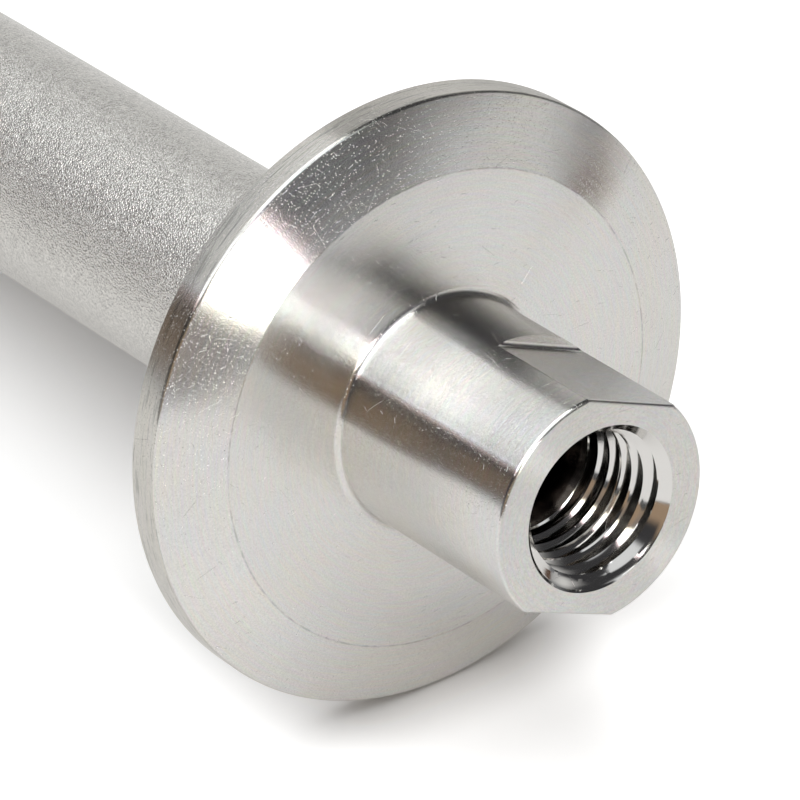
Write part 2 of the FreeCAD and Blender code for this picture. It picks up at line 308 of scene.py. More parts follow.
@dataclass(frozen=True)
class TurnedSteel:
    """Stainless steel as it comes off the lathe, with fine rings, scratches and pits.

    Lengths are in mm. A drift is how far a rings' noise moves in one radian round the axis,
    so a small one gives long rings. A shade multiplies the colour, and a share is how much
    of another colour is mixed in. Where it is a ramp, the noise named before it drives it.
    """

    name: str = "turned_steel"
    colour: Colour = (0.74, 0.725, 0.70)
    roughness: float = 0.19
    polish_range: tuple[float, float] = (0.92, 1.1)
    rim_dullness: float = 0.04
    across_grain: float = 1.0
    ring_pitch: float = 0.13
    ring_depth: float = 0.0022
    relief_drift: float = 0.25
    grain_depth: float = 0.0022
    grain: Noise = Noise(10.0, 1.0, 0.6)
    stub_wear: float = 0.6
    rim_radius: float = 25.15
    corner_radius: float = 19.7
    corner_width: float = 0.5
    flat_half: float = 8.45
    flat_start: float = 13.7
    end_place: float = 25.0
    warm: Colour = (1.0, 0.99, 0.97)
    cool: Colour = (0.98, 0.99, 1.0)
    patches: Noise = Noise(0.16, 2.0)
    patch_share: Ramp = Ramp(0.35, 0.65)
    # Colour of the rim's dark grooves and of the painted shade line in the corner, then that line's
    # ramp, its breaks and their share.
    dirt_and_shade: Colour = (0.2, 0.19, 0.18)
    corner_shade_line: Ramp = Ramp(0.03, 0.11, 0.3, 0.0)
    corner_shade_breaks: Noise = Noise(1.1, 3.0, 0.7)
    corner_shade_share: Ramp = Ramp(0.4, 0.6, 0.35, 1.3)
    rim_shade: Colour = (0.86, 0.85, 0.82)
    milled: Colour = (0.3, 0.29, 0.28)
    milled_share: float = 0.30
    faced: Colour = (0.4, 0.39, 0.37)
    faced_share: float = 0.22
    rings: Noise = Noise(5.0, 3.0, 0.7)
    tint_drift: float = 1.4
    ring_share: Ramp = Ramp(0.0, 1.0, 0.3, 0.08)
    rim_grooves: Ramp = Ramp(0.36, 0.45, 0.4, 0.0)
    mottle: Noise = Noise(7.0, 2.0, 0.7)
    mottle_shade: Ramp = Ramp(*NOISE_RANGE, 0.92, 1.07)
    polish_rings: Noise = Noise(4.0, 3.0, 0.7)
    polish_drift: float = 0.3
    smears: Noise = Noise(0.3, 4.0, 0.6)
    smear_share: float = 0.4
    hairlines: Marks = Marks(cell=4.2, share=0.5, width=0.028, length=2.2, depth=0.010, seed=3.1)
    nicks: Marks = Marks(cell=1.3, share=0.3, width=0.032, length=0.55, depth=0.014, seed=11.7)
    specks: Marks = Marks(cell=0.55, share=0.5, width=0.07, depth=0.026, seed=5.3)
    dust: Marks = Marks(cell=0.2, share=0.7, width=0.06, depth=0.014, seed=7.9)

    def make(self) -> bpy.types.Material:
        """The finish, with its rings and marks as bump and its tint and polish uneven.

        Returns:
            The material.
        """
        material, graph = new_material(self.name)
        axes = Axes.of(graph)
        inputs = {
            "Base Color": self.tint(graph, axes),
            "Metallic": 1.0,
            "Roughness": self.polish(graph, axes),
            "Anisotropic": self.across_grain,
            "Normal": graph.bump(self.relief(graph, axes)),
            "Tangent": self.grain_course(graph, axes),
        }
        graph.show(graph.add("BsdfPrincipled", inputs))
        return material

    def grain_course(self, graph: Graph, axes: Axes) -> Socket:
        """The direction square to the rings within the surface, along which light spreads."""
        normal = graph.add("NewGeometry").outputs["Normal"]
        return graph.vector("CROSS_PRODUCT", axes.around, normal)

    def ring_place(self, graph: Graph, axes: Axes, drift: float) -> Socket:
        """A point that changes across the rings and only slowly along them.

        Args:
            graph: The graph of the finish.
            axes: The place in the metal.
            drift: How far the point moves in one radian round the axis, in mm.

        Returns:
            The point, in mm.
        """
        return graph.join(axes.x, axes.radius, graph.product(axes.angle, drift))

    def tint(self, graph: Graph, axes: Axes) -> Socket:
        """The metal's colour.

        It is warmer or cooler in soft patches and from ring to ring. A broken dark line of
        painted shade lies in the corner between cone and shoulder, the rim is duller with dark
        grooves, the wrench flats and the end face are greyer, and a fine mottle lies over it all.
        """
        patches = graph.noise(axes.point, self.patches)[0]
        ends = shaded(self.colour, self.warm), shaded(self.colour, self.cool)
        base = graph.blend(graph.span(patches, self.patch_share), *ends)
        # Painted shade: a broken dark line darkens the corner between cone and shoulder.
        breaks = graph.noise(axes.point, self.corner_shade_breaks)[0]
        corner = graph.math("SUBTRACT", axes.radius, self.corner_radius)
        line = graph.span(graph.math("ABSOLUTE", corner), self.corner_shade_line)
        line = graph.product(line, graph.span(breaks, self.corner_shade_share))
        base = graph.blend(line, base, self.dirt_and_shade)
        rim = graph.math("GREATER_THAN", axes.radius, self.rim_radius)
        base = graph.blend(rim, base, shaded(self.colour, self.rim_shade))
        outer = graph.math("GREATER_THAN", graph.math("ABSOLUTE", axes.z), self.flat_half)
        milled = graph.product(outer, graph.math("GREATER_THAN", axes.x, self.flat_start))
        base = graph.blend(graph.product(milled, self.milled_share), base, self.milled)
        faced = graph.math("GREATER_THAN", axes.x, self.end_place)
        base = graph.blend(graph.product(faced, self.faced_share), base, self.faced)
        rings = graph.noise(self.ring_place(graph, axes, self.tint_drift), self.rings)
        base = graph.blend(graph.span(rim, self.ring_share), base, rings[1], "OVERLAY")
        grooves = graph.product(rim, graph.span(rings[0], self.rim_grooves))
        base = graph.blend(grooves, base, self.dirt_and_shade)
        mottle = graph.noise(axes.point, self.mottle)[0]
        return graph.scaled(base, graph.span(mottle, self.mottle_shade))

    def polish(self, graph: Graph, axes: Axes) -> Socket:
        """The roughness, which varies between rings and in faint smears of handling."""
        place = self.ring_place(graph, axes, self.polish_drift)
        rings = graph.product(graph.noise(place, self.polish_rings)[0], 1 - self.smear_share)
        smears = graph.product(graph.noise(axes.point, self.smears)[0], self.smear_share)
        limits = (self.roughness * part for part in self.polish_range)
        polish = graph.span(graph.total(rings, smears), Ramp(*NOISE_RANGE, *limits))
        rim = graph.math("GREATER_THAN", axes.radius, self.rim_radius)
        return graph.total(polish, graph.product(rim, self.rim_dullness))

    def relief(self, graph: Graph, axes: Axes) -> Socket:
        """The height in mm: ring noise, an even fine grain and each mark, added up.

        The marks are shallower on the stub, which handling has rubbed less than the flange.
        """
        place = self.ring_place(graph, axes, self.relief_drift)
        rings = graph.noise(place, Noise(1 / self.ring_pitch, 2.0, 0.65))[0]
        grain = graph.noise(axes.point, self.grain)[0]
        height = graph.product(rings, self.ring_depth)
        height = graph.total(height, graph.product(grain, self.grain_depth))
        corner = self.corner_radius - self.corner_width, self.corner_radius
        wear = graph.span(axes.radius, Ramp(*corner, self.stub_wear, 1.0))
        marks = [kind.scratches(graph, axes) for kind in (self.hairlines, self.nicks)]
        marks += [kind.pits(graph, axes) for kind in (self.specks, self.dust)]
        for mark in marks:
            height = graph.total(height, graph.product(mark, wear))
        return height


@dataclass(frozen=True)
class TappedSteel(TurnedSteel):
    """The inside of the bore, cut smooth by drill and tap and bright where it catches light."""

    name: str = "tapped_steel"
    roughness: float = 0.10
    across_grain: float = 0.0
    ring_depth: float = 0.0003
    grain_depth: float = 0.0005
    nicks: Marks = Marks(cell=2.0, share=0.2, width=0.03, length=0.6, depth=0.002, seed=11.7)
    specks: Marks = Marks(cell=1.6, share=0.3, width=0.07, depth=0.01, seed=5.3)
    dust: Marks = Marks(cell=0.5, share=0.0, width=0.05, depth=0.0, seed=7.9)
    thread_end: float = 15.6
    bore_shade_edge: float = 0.4
    bore_shade: Noise = Noise(1.2, 3.0)
    bore_shade_dark: Colour = (0.12, 0.105, 0.095)
    bore_shade_pale: Colour = (0.19, 0.17, 0.155)

    def tint(self, graph: Graph, axes: Axes) -> Socket:
        """The threads are bright, and the drilled hole behind them is painted dark, as painted shade
        deep in the bore.
        """
        # Painted shade: the drilled hole beyond the threads gets a dark, mottled colour.
        edge = Ramp(self.thread_end - self.bore_shade_edge, self.thread_end, 1.0, 0.0)
        bore_shade = graph.span(graph.noise(axes.point, self.bore_shade)[0], Ramp(*NOISE_RANGE))
        shaded_bore = graph.blend(bore_shade, self.bore_shade_dark, self.bore_shade_pale)
        return graph.blend(graph.span(axes.x, edge), self.colour, shaded_bore)


@dataclass(frozen=True)
class SinteredSteel:
    """Fine stainless powder pressed and sintered: a matt tube that sparkles grain by grain.

    The depths of the domes and of both noises are shares of the grain's depth, in mm.
    """

    name: str = "sintered_steel"
    colour: Colour = (0.742, 0.725, 0.69)
    roughness: float = 0.225
    roughness_spread: float = 0.015
    grain: float = 0.17
    grain_depth: float = 0.035
    dome_share: float = 2.0
    fine: Noise = Noise(8.0, 1.0)
    fine_share: float = 0.9
    coarse: Noise = Noise(3.5, 1.0)
    coarse_share: float = 0.8
    pores: Ramp = Ramp(0.35, 0.75)
    pore_painted_shade: Colour = (0.82, 0.82, 0.82)
    patches: Noise = Noise(0.25, 3.0)
    patch_share: Ramp = Ramp(*NOISE_RANGE, 0.6, 1.0)
    clumps: Noise = Noise(1.7, 3.0, 0.7)
    clump_shade: Ramp = Ramp(*NOISE_RANGE, 0.93, 1.06)

    def make(self) -> bpy.types.Material:
        """The finish: rounded grains, with painted shade darkening the pores between them.

        Returns:
            The material.
        """
        material, graph = new_material(self.name)
        axes = Axes.of(graph)
        cells = graph.add("TexVoronoi", {"Vector": axes.point, "Scale": 1 / self.grain})
        middle = cells.outputs["Distance"]
        height = graph.product(graph.product(middle, middle), -self.dome_share * self.grain_depth)
        for noise, share in ((self.fine, self.fine_share), (self.coarse, self.coarse_share)):
            waves = graph.noise(axes.point, noise)[0]
            height = graph.total(height, graph.product(waves, self.grain_depth * share))
        patches = graph.noise(axes.point, self.patches)[0]
        # Painted shade: the colour darkens in the hollows between the grains, where the bump is lowest.
        share = graph.product(graph.span(middle, self.pores), graph.span(patches, self.patch_share))
        base = graph.blend(share, self.colour, shaded(self.colour, self.pore_painted_shade))
        clumps = graph.span(graph.noise(axes.point, self.clumps)[0], self.clump_shade)
        limits = self.roughness - self.roughness_spread, self.roughness + self.roughness_spread
        inputs = {
            "Base Color": graph.scaled(base, clumps),
            "Metallic": 1.0,
            "Roughness": graph.span(patches, Ramp(*NOISE_RANGE, *limits)),
            "Normal": graph.bump(height),
        }
        graph.show(graph.add("BsdfPrincipled", inputs))
        return material


def arc(centre: tuple[float, float], radius: float, start: float, end: float, steps: int) -> np.ndarray:
    """Points along a circular arc.

    Each point is the centre plus the radius times (cos a, sin a), for evenly spaced a.

    Args:
        centre: The arc's centre, along the axis and outwards.
        radius: The arc's radius.
        start: The first angle in degrees, from the axis outwards.
        end: The last angle in degrees.
        steps: The number of straight steps.

    Returns:
        An array of steps + 1 points.
    """
    angles = np.radians(np.linspace(start, end, steps + 1))
    return np.array(centre) + radius * np.stack([np.cos(angles), np.sin(angles)], axis=1)


def turned_grid(along: np.ndarray, radius: np.ndarray, angles: np.ndarray) -> np.ndarray:
    """The points of a surface about the X axis.

    A point is (along, radius cos angle, radius sin angle), for each row and column.

    Args:
        along: Places along the axis, by row and column, in mm.
        radius: Distances from the axis, by row and column, in mm.
        angles: The angle of each column, from Y towards Z.

    Returns:
        An array of rows by columns by 3, in mm.
    """
    return np.stack([along, radius * np.cos(angles), radius * np.sin(angles)], axis=-1)


def shell(name: str, grid: np.ndarray, closed: bool = True, crease: float = 14.0) -> Thing:
    """Makes a piece from a grid of points whose rows run round a section of the metal.

    The square with corners (i, j), (i, j+1), (i+1, j+1), (i+1, j) is one face. Points that
    fall together, at the seam, on the axis and where rows are held back, are merged.

    Args:
        name: The piece's name.
        grid: Rows by columns by 3, in mm. The last column repeats the first one's angle.
        closed: Whether the last row joins the first.
        crease: Edges sharper than this angle in degrees stay sharp.

    Returns:
        The object, with its normals outwards.
    """
    rows, columns, _ = grid.shape
    count = rows if closed else rows - 1
    row = np.arange(count)[:, None]
    column = np.arange(columns - 1)[None, :]
    following = (row + 1) % rows
    corners = [row * columns + column, row * columns + column + 1]
    corners += [following * columns + column + 1, following * columns + column]
    faces = np.stack(np.broadcast_arrays(*corners), axis=-1).reshape(-1, 4)
    mesh = bpy.data.meshes.new(name)
    mesh.from_pydata((grid.reshape(-1, 3) * MM).tolist(), [], faces.tolist())
    work = bmesh.new()
    work.from_mesh(mesh)
    bmesh.ops.remove_doubles(work, verts=work.verts, dist=MERGE)
    bmesh.ops.recalc_face_normals(work, faces=work.faces)
    work.to_mesh(mesh)
    work.free()
    mesh.polygons.foreach_set("use_smooth", np.ones(len(mesh.polygons), dtype=bool))
    mesh.set_sharp_from_angle(angle=math.radians(crease))
    piece = bpy.data.objects.new(name, mesh)
    bpy.context.scene.collection.objects.link(piece)
    return piece


@dataclass
class InletFitting:
    """The turned end fitting: flange with its gasket groove, stub with flats, tapped bore.

    All sizes are in mm. Places along the axis are taken from the gasket face.
    """

    flange_radius: float = 25.25
    rim: float = 2.85
    rim_bevel: float = 0.25
    face_radius: float = 19.7
    face: float = 4.87
    stub_radius: float = 9.525
    stub_end: float = 25.07
    crease: float = 0.06
    stub_foot: float = 0.6
    end_chamfer: float = 0.3
    flat_half: float = 8.5
    flat_start: float = 13.67
    flat_foot: float = 0.4
    neck_radius: float = 9.35
    neck_back: float = -8.0
    neck_foot: float = 0.5
    seam: float = 0.2
    spigot_radius: float = 6.8
    spigot_end: float = -14.0
    spigot_lead: float = 0.5
    groove_radius: float = 21.75
    groove_section: float = 1.6
    groove_depth: float = 1.1
    passage_radius: float = 3.0
    tap_radius: float = 5.55
    tap_bottom: float = 8.07
    mouth_radius: float = 6.75
    thread_pitch: float = 25.4 / 18
    thread_radius: float = 6.74
    thread_taper: float = 1 / 32
    thread_full: float = 16.7
    thread_end: float = 15.4
    thread_flank: float = 60.0
    thread_flat: float = 0.03
    thread_runout: float = 0.75
    drill_point: float = 59.0
    turns_rows: int = 12
    arc_steps: int = 8
    columns: int = 360
    slack: float = 0.005

    def angles(self) -> np.ndarray:
        """The columns' angles, evenly spaced but with one at each edge of the wrench flats."""
        corner = math.asin(self.flat_half / self.stub_radius)
        turn, half = 2 * math.pi, math.pi
        marks = np.array([0, corner, half - corner, half + corner, turn - corner, turn])
        steps = np.maximum(1, np.round(np.diff(marks) / turn * self.columns)).astype(int)
        runs = zip(marks[:-1], marks[1:], steps)
        return np.append(np.concatenate([np.linspace(*run, endpoint=False) for run in runs]), turn)

    def outside(self) -> np.ndarray:
        """The outline from the end of the spigot forwards to the mouth of the bore.

        Returns:
            Rows of place, radius and half width across the flats, in mm. Where nothing is
            milled, the half width is that of the round itself.
        """
        depth = self.groove_section - self.groove_depth
        half = math.degrees(math.asin(depth / self.groove_section))
        centre = (-depth, self.groove_radius)
        groove = arc(centre, self.groove_section, -90 + half, 90 - half, self.arc_steps + 4)
        slope = math.atan2(self.face - self.rim, self.flange_radius - self.face_radius)
        bevel, crease, steps = self.rim_bevel, self.crease, self.arc_steps
        soft = bevel / math.tan(math.pi / 4 - slope / 2)
        neck = (-self.neck_foot, self.neck_radius + self.neck_foot)
        foot = (self.face + self.stub_foot, self.stub_radius + self.stub_foot)
        cutter = (self.flat_start + self.flat_foot, self.flat_half + self.flat_foot)
        brow = (self.rim - bevel, self.flange_radius - soft)
        back = [
            (self.spigot_end, self.passage_radius),
            (self.spigot_end, self.spigot_radius - self.spigot_lead),
            (self.spigot_end + self.spigot_lead, self.spigot_radius),
            (self.neck_back, self.spigot_radius),
            (self.neck_back, self.neck_radius - self.seam),
            (self.neck_back + self.seam, self.neck_radius),
            *arc(neck, self.neck_foot, -90, 0, steps),
        ]
        rim = [
            (0.0, self.flange_radius - bevel),
            (bevel, self.flange_radius),
            *arc(brow, soft, 90, math.degrees(slope), steps - 2),
        ]
        front = [
            (self.face - crease * math.sin(slope), self.face_radius + crease * math.cos(slope)),
            (self.face, self.face_radius - crease),
            (self.face, (self.face_radius + self.stub_radius) / 2),
            *arc(foot, self.stub_foot, 180, 270, steps),
            (self.flat_start, self.stub_radius),
        ]
        plain = np.array([*back, *groove, *rim, *front])
        milled = arc(cutter, self.flat_foot, 180, 270, steps)
        chamfer = self.end_chamfer
        edge = arc((self.stub_end - chamfer, -chamfer), chamfer, 90, 0, steps)
        middle = (self.stub_radius + self.mouth_radius) / 2
        rows = [
            np.column_stack([plain, plain[:, 1]]),
            np.column_stack([milled[:, 0], np.full(len(milled), self.stub_radius), milled[:, 1]]),
            np.column_stack([edge[:, 0], edge[:, 1] + self.stub_radius, edge[:, 1] + self.flat_half]),
            [(self.stub_end, middle, middle)],
        ]
        return np.concatenate(rows)

    def threaded(self, angles: np.ndarray) -> tuple[np.ndarray, np.ndarray]:
        """The tapered thread in the mouth of the bore.

        Each row follows the helix, place = start + pitch x turns, and is held between the
        end face and the last thread. The radius is the largest of three cuts: the drilled
        hole, the countersink at 45 degrees, and a groove with a narrow flat and flanks at 60
        degrees, which is deepest where place - pitch x turns is a whole number of pitches.
        The groove follows the taper and runs out over its last turn.

        Args:
            angles: The angle of each column.

        Returns:
            Places and radii, each an array of rows by columns, in mm.
        """
        step = self.thread_pitch / self.turns_rows
        rows = math.ceil((self.stub_end - self.thread_end) / step) + self.turns_rows + 1
        start = self.stub_end - step * np.arange(rows)[:, None]
        turns = angles / (2 * math.pi)
        place = np.clip(start + self.thread_pitch * turns, self.thread_end, self.stub_end)
        phase = (place - self.stub_end) / self.thread_pitch - turns
        offset = np.abs(phase - np.round(phase)) * self.thread_pitch
        root = self.thread_radius - self.thread_taper * (self.stub_end - place)
        root = root - self.thread_runout * np.clip(self.thread_full - place, 0, None)
        flank = math.tan(math.radians(self.thread_flank))
        groove = root - flank * np.clip(offset - self.thread_flat, 0, None)
        sunk = self.mouth_radius - (self.stub_end - place)
        return place, np.maximum(np.maximum(groove, sunk), self.tap_radius)

    def build(self) -> Thing:
        """The whole skin of the fitting, as one closed grid round its section.

        Returns:
            The piece.
        """
        angles = self.angles()
        outline = self.outside()
        sine = np.maximum(np.abs(np.sin(angles)), TINY)
        places, radii, halves = np.split(outline, 3, axis=1)
        radius = np.where(radii <= halves, radii, np.minimum(radii, halves / sine))
        place = np.broadcast_to(places, radius.shape)
        thread_place, thread_radius = self.threaded(angles)
        point = (self.tap_radius - self.passage_radius) / math.tan(math.radians(self.drill_point))
        inner = np.array(
            [
                (self.thread_end, self.tap_radius),
                (self.tap_bottom, self.tap_radius),
                (self.tap_bottom - point, self.passage_radius),
            ]
        )
        ones = np.ones_like(angles)
        along = np.concatenate([place, thread_place, inner[:, 0:1] * ones])
        out = np.concatenate([radius, thread_radius, inner[:, 1:2] * ones])
        return shell("inlet_fitting_steel", turned_grid(along, out, angles))

    def in_bore(self, mesh: bpy.types.Mesh) -> np.ndarray:
        """Which faces lie in the bore: those whose middle is nearer the axis than its mouth."""
        middles = np.empty(3 * len(mesh.polygons))
        mesh.polygons.foreach_get("center", middles)
        middles = middles.reshape(-1, 3) / MM
        inside = np.hypot(middles[:, 1], middles[:, 2]) < self.mouth_radius + self.slack
        return inside & (middles[:, 0] > self.spigot_end + self.slack)

    def dress(self, piece: Thing, finish: TurnedSteel) -> None:
        """Gives the fitting its finishes and its place in the frame."""
        piece.data.materials.append(finish.make())
        piece.data.materials.append(TappedSteel().make())
        piece.data.polygons.foreach_set("material_index", self.in_bore(piece.data).astype(np.int32))
        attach(piece, "root")
        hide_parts("inlet_fitting")


@dataclass
class PorousTube:
    """The tube of sintered powder, open at both ends, with an uneven skin. Sizes in mm."""

    radius: float = 9.35
    bore: float = 6.85
    start: float = -145.0
    end: float = -8.0
    spacing: float = 0.36
    relief: float = 0.022
    fade: float = 1.0
    cut: float = 0.32
    spread: tuple[float, float] = (1.0, 99.0)
    seed: int = 20

    def unevenness(self, rows: int, columns: int) -> np.ndarray:
        """Soft random hollows that close round the tube.

        White noise is blurred along both directions by weighting its waves with
        exp(-(frequency / cut)^2), then the percentiles of the spread become 0 and 1.

        Args:
            rows: The number of places along the tube.
            columns: The number of angles.

        Returns:
            An array of rows by columns.
        """
        noise = np.random.default_rng(self.seed).standard_normal((rows, columns))
        along = np.fft.fftfreq(rows)[:, None]
        around = np.fft.fftfreq(columns)[None, :]
        weight = np.exp(-((along**2 + around**2) / self.cut**2))
        field = np.fft.ifft2(np.fft.fft2(noise) * weight).real
        low, high = np.percentile(field, self.spread)
        return np.clip((field - low) / (high - low), 0, 1)

    def build(self) -> Thing:
        """The skin of the tube: outside, far end, bore and near end, as one closed grid."""
        rows = round((self.end - self.start) / self.spacing)
        columns = round(2 * math.pi * self.radius / self.spacing)
        angles = np.linspace(0, 2 * math.pi, columns + 1)
        hollows = self.unevenness(rows, columns)
        hollows = np.concatenate([hollows, hollows[:, :1]], axis=1)
        places = np.linspace(self.start, self.end, rows)[:, None]
        fade = np.clip(np.minimum(places - self.start, self.end - places) / self.fade, 0, 1)
        outside = self.radius - self.relief * hollows * fade
        inside = np.full((2, columns + 1), self.bore)
        ends = np.repeat([[self.end], [self.start]], columns + 1, axis=1)
        along = np.concatenate([places * np.ones_like(outside), ends])
        grid = turned_grid(along, np.concatenate([outside, inside]), angles)
        return shell("porous_tube_steel", grid, crease=35.0)

    def dress(self, piece: Thing, finish: SinteredSteel) -> None:
        """Gives the tube its finish and its place in the frame."""
        piece.data.materials.append(finish.make())
        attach(piece, "root")
        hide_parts("porous_tube")


@dataclass
class EndPlug:
    """The turned plug welded into the tube's far end. Sizes in mm."""

    radius: float = 9.35
    outside: float = -150.0
    seat: float = -145.0
    round_over: float = 1.2
    seam: float = 0.2
    spigot_radius: float = 6.8
    tip: float = -139.0
    lead: float = 0.5
    arc_steps: int = 8
    columns: int = 180

    def build(self) -> Thing:
        """The skin of the plug, from the middle of its outer end to the tip of its spigot."""
        edge = (self.outside + self.round_over, self.radius - self.round_over)
        outline = np.concatenate(
            [
                [(self.outside, 0.0), (self.outside, self.radius / 2)],
                arc(edge, self.round_over, 180, 90, self.arc_steps),
                [
                    (self.seat - self.seam, self.radius),
                    (self.seat, self.radius - self.seam),
                    (self.seat, self.spigot_radius),
                    (self.tip - self.lead, self.spigot_radius),
                    (self.tip, self.spigot_radius - self.lead),
                    (self.tip, 0.0),
                ],
            ]
        )
        angles = np.linspace(0, 2 * math.pi, self.columns + 1)
        ones = np.ones_like(angles)
        grid = turned_grid(outline[:, 0:1] * ones, outline[:, 1:2] * ones, angles)
        return shell("end_plug_steel", grid, closed=False)

    def dress(self, piece: Thing, finish: TurnedSteel) -> None:
        """Gives the plug its finish and its place in the frame."""
        piece.data.materials.append(finish.make())
        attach(piece, "root")
        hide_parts("end_plug")


@dataclass(frozen=True)
class Softbox:
    """A rectangular lamp with an even face, turned towards the stone.

    The azimuth is in degrees to the right of the line from the camera to the stone, the
    elevation in degrees above the floor. By the roll, in degrees, its height leans to the
    right, seen from behind. The distance from the gasket face, the width and the height are
    in metres. A face with radiance 1 looks like the photograph's white paper.
    """

    name: str
    azimuth: float
    elevation: float
    roll: float
    distance: float
    width: float
    height: float
    radiance: float
    colour: Colour = (1.0, 1.0, 1.0)
    mirrored: bool = True


@dataclass(frozen=True)
class Card:
    """An upright strip on the floor, out of the picture, for the metal to mirror.

    Its middle lies at the azimuth, as for a lamp, and the spread is its width in degrees as
    the stone sees it. The distance along the floor and the height are in metres.
    """

    name: str
    azimuth: float
    spread: float
    distance: float
    height: float
    colour: Colour


@dataclass(frozen=True)
class Wall:
    """A pale part of the dark room, with soft edges, in degrees.

    Azimuth and elevation are its middle, as for a lamp. It is even as far as half_width and
    half_height from there, and fades over side_fade sideways and over fade up and down.
    """

    azimuth: float
    half_width: float
    elevation: float
    half_height: float
    side_fade: float
    fade: float
    colour: Colour


